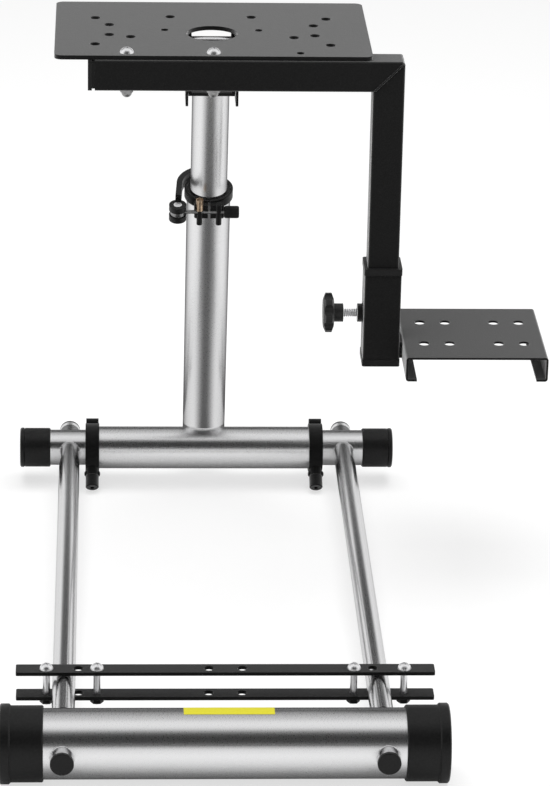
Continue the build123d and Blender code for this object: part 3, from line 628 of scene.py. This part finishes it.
def arm_welds():
    """Seams on the arm's mitre, and under the plate along its two ears."""
    mesh = bmesh.new()
    upright_low, upright_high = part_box("arm_upright")
    beam_low, beam_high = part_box("arm_beam")
    for y in (upright_low.y, upright_high.y):
        inner = Vector((upright_low.x, y, beam_low.z))
        outer = Vector((upright_high.x, y, beam_high.z))
        first = inner.lerp(outer, MITRE_WELD_INSET_SHARE)
        last = inner.lerp(outer, 1 - MITRE_WELD_INSET_SHARE)
        bead(mesh, line_of(first, last), MITRE_WELD_WIDTH, ripple=MITRE_WELD_RIPPLE)
    under_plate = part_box("wheel_plate")[0].z
    left_low, left_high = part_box("head_ear_left")
    right_low, right_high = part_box("head_ear_right")
    for x, low, high in ((left_low.x, left_low, left_high), (right_high.x, right_low, right_high)):
        first = Vector((x, low.y + EAR_WELD_INSET, under_plate))
        last = Vector((x, high.y - EAR_WELD_INSET, under_plate))
        bead(mesh, line_of(first, last), EAR_WELD_WIDTH)
    add_piece(mesh, "head_welds", "black_coat", "head")


def mount_welds():
    """Seams round the threaded boss and along the tray's spacer."""
    boss, radius = middle("screw_boss"), half_size("screw_boss").z
    place = frame_on((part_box("screw_boss")[1].x, boss.y, boss.z), (1, 0, 0), BOSS_SEAM_START)
    mesh = bmesh.new()
    bead(mesh, ring_at(place, [radius] * BOSS_SEAM_POINTS, 0), MOUNT_WELD_WIDTH, closed=True)
    low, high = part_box("tray_spacer")
    bottom, top = low.z + SPACER_WELD_INSET, high.z - SPACER_WELD_INSET
    for y in (low.y, high.y):
        for x in (low.x, high.x):
            bead(mesh, line_of(Vector((x, y, bottom)), Vector((x, y, top))), MOUNT_WELD_WIDTH)
    add_piece(mesh, "mount_welds", "black_coat", "shifter_mount")


def collar_studs():
    """Dome headed stud on each side of a collar's boss."""
    axis = middle("pivot_sleeve")
    y = axis.y - COLLAR_STUD_REACH * math.sin(COLLAR_BOSS_ANGLE)
    z = axis.z - COLLAR_STUD_REACH * math.cos(COLLAR_BOSS_ANGLE)
    shoulder = COLLAR_STUD_INNER + COLLAR_STUD_SHOULDER_SHARE * (COLLAR_STUD_OUTER - COLLAR_STUD_INNER)
    profile = [
        (COLLAR_STUD_RADIUS, COLLAR_STUD_INNER), (COLLAR_STUD_RADIUS, shoulder),
        (COLLAR_STUD_RADIUS * COLLAR_STUD_DOME_SHARE, COLLAR_STUD_OUTER - COLLAR_STUD_DOME_DROP),
        (COLLAR_STUD_TIP_RADIUS, COLLAR_STUD_OUTER)]
    mesh = bmesh.new()
    for collar in ("collar_left", "collar_right"):
        for sign in (-1, 1):
            lathe(mesh, frame_on((middle(collar).x, y, z), (sign, 0, 0), (0, 1, 0)), profile)
    add_piece(mesh, "collar_studs", "black_plastic", "base")


cross_bolts("pedal_bolts", "pedal_rail")
cross_bolts("plate_bolts", "head")
knob_thread()
knurled_nut()
sticker()
tube_welds()
post_weld()
arm_welds()
mount_welds()
collar_studs()


# Studio: floor, world and lamp

FLOOR_SIZE = 40
FLOOR_GREY = 0.8
FLOOR_ROUGHNESS = 0.9
FLOOR_GLOW = 1.3
FLOOR_GLOW_SHARE = 0.5
FLOOR_SHADE_REACH = 0.16
FLOOR_SHADE_SAMPLES = 8
FLOOR_SHADE_GAIN = 1.5
FLOOR_SHADE_MOST = 0.85
WORLD_GREY = 0.34
SOFTBOX_PLACE = Vector((0, 0.5, 3.0))
SOFTBOX_TARGET = Vector((0, 0, 0.3))
SOFTBOX_SIZE = 2.6
SOFTBOX_POWER = 90


def seen_rays(tree):
    """1 for rays from the camera, from metal and through glass, which see the white background."""
    path = tree.nodes.new("ShaderNodeLightPath")
    direct = add_math(tree, "MAXIMUM", path.outputs["Is Camera Ray"], path.outputs["Is Glossy Ray"])
    return add_math(tree, "MAXIMUM", direct, path.outputs["Is Transmission Ray"])


def add_floor():
    """Pale floor, white to the camera apart from the shadow, and darker in reflections near the object."""
    bpy.ops.mesh.primitive_plane_add(size=FLOOR_SIZE, location=(0, 0, 0))
    floor = bpy.context.object
    floor.name = "floor"
    material, tree, plain = new_material("floor_look")
    plain.inputs["Base Color"].default_value = (*grey(FLOOR_GREY), 1)
    plain.inputs["Roughness"].default_value = FLOOR_ROUGHNESS
    plain.inputs["Specular IOR Level"].default_value = 0.0
    near = tree.nodes.new("ShaderNodeAmbientOcclusion")
    near.samples = FLOOR_SHADE_SAMPLES
    near.inputs["Distance"].default_value = FLOOR_SHADE_REACH
    close = add_product(tree, FLOOR_SHADE_GAIN, add_rest(tree, near.outputs["AO"]))
    glossy = tree.nodes.new("ShaderNodeLightPath").outputs["Is Glossy Ray"]
    shade = add_product(tree, glossy, add_math(tree, "MINIMUM", close, FLOOR_SHADE_MOST))
    glow = tree.nodes.new("ShaderNodeEmission")
    tree.links.new(add_product(tree, FLOOR_GLOW, add_rest(tree, shade)), glow.inputs["Strength"])
    white = add_mix_shader(tree, FLOOR_GLOW_SHARE, plain.outputs["BSDF"], glow.outputs["Emission"])
    final = add_mix_shader(tree, seen_rays(tree), plain.outputs["BSDF"], white)
    tree.links.new(final, tree.nodes["Material Output"].inputs["Surface"])
    floor.data.materials.append(material)


def add_world():
    world = bpy.data.worlds.new("studio")
    scene.world = world
    world.use_nodes = True
    tree = world.node_tree
    plain = tree.nodes["Background"]
    plain.inputs["Color"].default_value = (*grey(WORLD_GREY), 1)
    white = tree.nodes.new("ShaderNodeBackground")
    white.inputs["Color"].default_value = (1, 1, 1, 1)
    final = add_mix_shader(tree, seen_rays(tree), plain.outputs["Background"], white.outputs["Background"])
    tree.links.new(final, tree.nodes["World Output"].inputs["Surface"])


def add_softbox():
    data = bpy.data.lights.new("overhead_softbox", "AREA")
    data.shape = "RECTANGLE"
    data.size = data.size_y = SOFTBOX_SIZE
    data.energy = SOFTBOX_POWER
    lamp = bpy.data.objects.new("overhead_softbox", data)
    scene.collection.objects.link(lamp)
    lamp.location = SOFTBOX_PLACE
    lamp.rotation_euler = (SOFTBOX_TARGET - SOFTBOX_PLACE).to_track_quat("-Z", "Y").to_euler()
    lamp.visible_glossy = False


# Studio: cards and a flag that only show in reflections, for the tubes' even stripes

CLOTH_GREY = 0.01
WHITE_GLOW = 0.9
WHITE_SOFT_EDGE = 0.05
WEDGE_DENSITY = 0.9
WEDGE_DARK, WEDGE_CLEAR = 0.15, 1.1
POST_CARD_HEIGHT = 0.071
POST_CARD_WIDTH, POST_CARD_LENGTH = 1.6, 0.85
POST_CARD_FADE_FROM, POST_CARD_FADE_END = 0.62, 0.78
RING_CARD_GAP = 0.001
RING_CARD_SOFT, RING_CARD_REACH = 0.038, 0.046
PLATE_CARD_DROP = 0.02
PLATE_CARD_MARGIN = Vector((0.06, 0.06, 0))
FOOT_CARD_DROP = 0.001
FOOT_CARD_REACH = Vector((0.30, 0.20, 0))
UPRIGHT_CARD_GAP = 0.004
UPRIGHT_CARD_MARGIN = Vector((0, 0.06, 0.06))

# Shade cards' sizes are shares of their tube's radius
SHADE_GAP = 0.5
SHADE_FADE_FROM = 0.25
SHADE_HEIGHT = 2.75
SHADE_DENSITY = 0.7

# The flag is a tall ring round the studio, with its angles in degrees as seen from the middle of the floor
FLAG_RADIUS = 7.0
FLAG_SEGMENTS = 64
FLAG_TILT = math.radians(3)
FLAG_BOTTOM, FLAG_DENSE_FROM, FLAG_DENSE_TO, FLAG_TOP = 14, 21, 54, 77
FLAG_BACK_THIN_FROM, FLAG_BACK_THIN_FULL = 25, 34
FLAG_BACK_THINNING = 0.6
FLAG_BACK_SOFT_EDGE = 1.0
FLAG_SIDE_FROM, FLAG_SIDE_CLEAR = 45, 70


def add_cloth(name, mesh, glow=0.0, location=(0, 0, 0), tilt=0.0):
    """Black or glowing cloth that only shows in reflections: its node tree, and its place's X, Y and Z."""
    data = bpy.data.meshes.new(name)
    mesh.to_mesh(data)
    mesh.free()
    piece = bpy.data.objects.new(name, data)
    scene.collection.objects.link(piece)
    piece.location = location
    piece.rotation_euler.x = tilt
    material, tree, cloth = new_material(name + "_look")
    cloth.inputs["Base Color"].default_value = (*grey(CLOTH_GREY), 1)
    cloth.inputs["Specular IOR Level"].default_value = 0.0
    cloth.inputs["Emission Color"].default_value = (1, 1, 1, 1)
    cloth.inputs["Emission Strength"].default_value = glow
    place = tree.nodes.new("ShaderNodeTexCoord")
    parts = tree.nodes.new("ShaderNodeSeparateXYZ")
    tree.links.new(place.outputs["Object"], parts.inputs["Vector"])
    data.materials.append(material)
    piece.visible_camera = False
    piece.visible_diffuse = False
    piece.visible_transmission = False
    piece.visible_shadow = False
    return tree, parts.outputs


def show_cloth(tree, *shares):
    """Shows a cloth by the product of the shares, and leaves the rest of it clear."""
    clear = tree.nodes.new("ShaderNodeBsdfTransparent")
    cloth = tree.nodes["Principled BSDF"]
    final = add_mix_shader(tree, add_product(tree, *shares), clear.outputs["BSDF"], cloth.outputs["BSDF"])
    tree.links.new(final, tree.nodes["Material Output"].inputs["Surface"])


def add_front_mask(tree):
    """1 on a card's front, 0 on its back."""
    geometry = tree.nodes.new("ShaderNodeNewGeometry")
    return add_rest(tree, geometry.outputs["Backfacing"])


def card_mesh(corners):
    mesh = bmesh.new()
    mesh.faces.new([mesh.verts.new(corner) for corner in corners])
    return mesh


def add_wedge(tree, sideways, ahead, tube_radius):
    """1 ahead of a tube and 0 beside it, so bent that the tube mirrors a straight line; and the distance."""
    square = add_math(tree, "ADD", add_math(tree, "POWER", sideways, 2), add_math(tree, "POWER", ahead, 2))
    distance = add_math(tree, "SQRT", square)
    bend = add_rest(tree, add_math(tree, "DIVIDE", tube_radius / 2, distance))
    turn = add_math(tree, "ABSOLUTE", add_math(tree, "ARCTAN2", sideways, ahead))
    beside = add_fade(tree, add_math(tree, "DIVIDE", turn, bend), WEDGE_DARK, WEDGE_CLEAR)
    return add_rest(tree, beside), distance


def add_post_card():
    """Level dark wedge in front of the post, for the dark line along the post."""
    root = on_post(POST_CARD_HEIGHT)
    left, right = root.x - POST_CARD_WIDTH / 2, root.x + POST_CARD_WIDTH / 2
    front = root.y - POST_CARD_LENGTH
    corners = (left, front, root.z), (right, front, root.z), (right, root.y, root.z), (left, root.y, root.z)
    tree, place = add_cloth("dark_card", card_mesh(corners))
    sideways = add_math(tree, "SUBTRACT", place["X"], root.x)
    ahead = add_math(tree, "SUBTRACT", root.y, place["Y"])
    wedge = add_wedge(tree, sideways, ahead, half_size("outer_post").x)[0]
    near = add_rest(tree, add_fade(tree, ahead, POST_CARD_FADE_FROM, POST_CARD_FADE_END))
    show_cloth(tree, wedge, near, WEDGE_DENSITY, add_front_mask(tree))


def add_ring_card():
    """White card with a dark wedge on the clamp ring, so that the inner post doesn't mirror the clamp."""
    ring_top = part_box("clamp_ring")[1].z - half_size("clamp_ring").x * math.sin(POST_LEAN)
    reach = RING_CARD_REACH
    corners = (-reach, -reach, 0), (reach, -reach, 0), (reach, reach, 0), (-reach, reach, 0)
    location = on_post(ring_top) + post_up * RING_CARD_GAP
    tree, place = add_cloth("ring_card", card_mesh(corners), location=location, tilt=POST_LEAN)
    ahead = add_math(tree, "SUBTRACT", 0.0, place["Y"])
    wedge, distance = add_wedge(tree, place["X"], ahead, half_size("inner_post").x)
    glow = add_product(tree, WHITE_GLOW, add_rest(tree, add_product(tree, WEDGE_DENSITY, wedge)))
    tree.links.new(glow, tree.nodes["Principled BSDF"].inputs["Emission Strength"])
    inside = add_rest(tree, add_fade(tree, distance, RING_CARD_SOFT, RING_CARD_REACH))
    show_cloth(tree, inside, add_front_mask(tree))


def add_white_card(name, low, high, axis, sign):
    """White card over a flat box, seen from the side that it faces along an axis, with its edges soft."""
    centre, half = (low + high) / 2, (high - low) / 2
    across, along = (axis + 1) % 3, (axis + 2) % 3
    corners = []
    for side, end in ((-1, -sign), (1, -sign), (1, sign), (-1, sign)):
        corner = centre.copy()
        corner[across] += side * half[across]
        corner[along] += end * half[along]
        corners.append(corner)
    tree, place = add_cloth(name, card_mesh(corners), WHITE_GLOW)
    shares = [add_front_mask(tree)]
    for k in (across, along):
        away = add_math(tree, "ABSOLUTE", add_math(tree, "SUBTRACT", place["XYZ"[k]], centre[k]))
        shares.append(add_rest(tree, add_fade(tree, away, half[k] - WHITE_SOFT_EDGE, half[k])))
    show_cloth(tree, *shares)


def add_white_cards():
    """White cards that keep the plate, the rear pivot and the arm's upright out of the tubes' reflections."""
    low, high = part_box("wheel_plate")
    low.z = high.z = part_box("arm_beam")[0].z - PLATE_CARD_DROP
    add_white_card("plate_card", low - PLATE_CARD_MARGIN, high + PLATE_CARD_MARGIN, axis=2, sign=-1)
    foot = Vector((post_foot.x, post_foot.y, POST_CARD_HEIGHT - FOOT_CARD_DROP))
    add_white_card("foot_card", foot - FOOT_CARD_REACH, foot + FOOT_CARD_REACH, axis=2, sign=1)
    low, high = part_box("arm_upright")
    low.x = high.x = low.x - UPRIGHT_CARD_GAP
    add_white_card("upright_card", low - UPRIGHT_CARD_MARGIN, high + UPRIGHT_CARD_MARGIN, axis=0, sign=-1)


def add_shade_card(name, tube, length_of):
    """Dark card right behind a level tube, for the dark line along the tube's top."""
    axis_z, radius = middle(tube).z, half_size(tube).z
    tube_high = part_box(tube)[1]
    left, right = [corner.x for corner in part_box(length_of)]
    behind = tube_high.y + SHADE_GAP * radius
    fade_from, top = tube_high.z + SHADE_FADE_FROM * radius, tube_high.z + SHADE_HEIGHT * radius
    corners = (left, behind, axis_z), (right, behind, axis_z), (right, behind, top), (left, behind, top)
    tree, place = add_cloth(name, card_mesh(corners))
    dense = add_rest(tree, add_fade(tree, place["Z"], fade_from, top))
    show_cloth(tree, dense, SHADE_DENSITY, add_front_mask(tree))


def flag_height(elevation):
    return FLAG_RADIUS * math.tan(math.radians(elevation))


def flag_side(bearing):
    return FLAG_RADIUS * math.sin(math.radians(bearing))


def add_dark_flag():
    """Dark cloth with soft edges before and behind the studio, for the dark lines along the tubes."""
    bottom, top = flag_height(FLAG_BOTTOM), flag_height(FLAG_TOP)
    mesh = bmesh.new()
    rings = [ring_at(Matrix(), [FLAG_RADIUS] * FLAG_SEGMENTS, height) for height in (bottom, top)]
    join_rings(mesh, rings, close_ends=False)
    tree, place = add_cloth("dark_flag", mesh, tilt=FLAG_TILT)
    rise = add_fade(tree, place["Z"], bottom, flag_height(FLAG_DENSE_FROM))
    fall = add_rest(tree, add_fade(tree, place["Z"], flag_height(FLAG_DENSE_TO), top))
    back = add_fade(tree, place["Y"], -FLAG_BACK_SOFT_EDGE, FLAG_BACK_SOFT_EDGE)
    above = add_fade(tree, place["Z"], flag_height(FLAG_BACK_THIN_FROM), flag_height(FLAG_BACK_THIN_FULL))
    thinned = add_rest(tree, add_product(tree, back, above, FLAG_BACK_THINNING))
    away = add_math(tree, "ABSOLUTE", place["X"])
    closed = add_rest(tree, add_fade(tree, away, flag_side(FLAG_SIDE_FROM), flag_side(FLAG_SIDE_CLEAR)))
    show_cloth(tree, rise, fall, thinned, closed)


add_floor()
add_post_card()
add_ring_card()
add_white_cards()
add_shade_card("front_shade", "front_tube", "front_tube")
add_shade_card("rear_shade", "pivot_sleeve", "rear_tube")
add_dark_flag()
add_world()
add_softbox()
add_camera()

scene.view_settings.view_transform = "Standard"
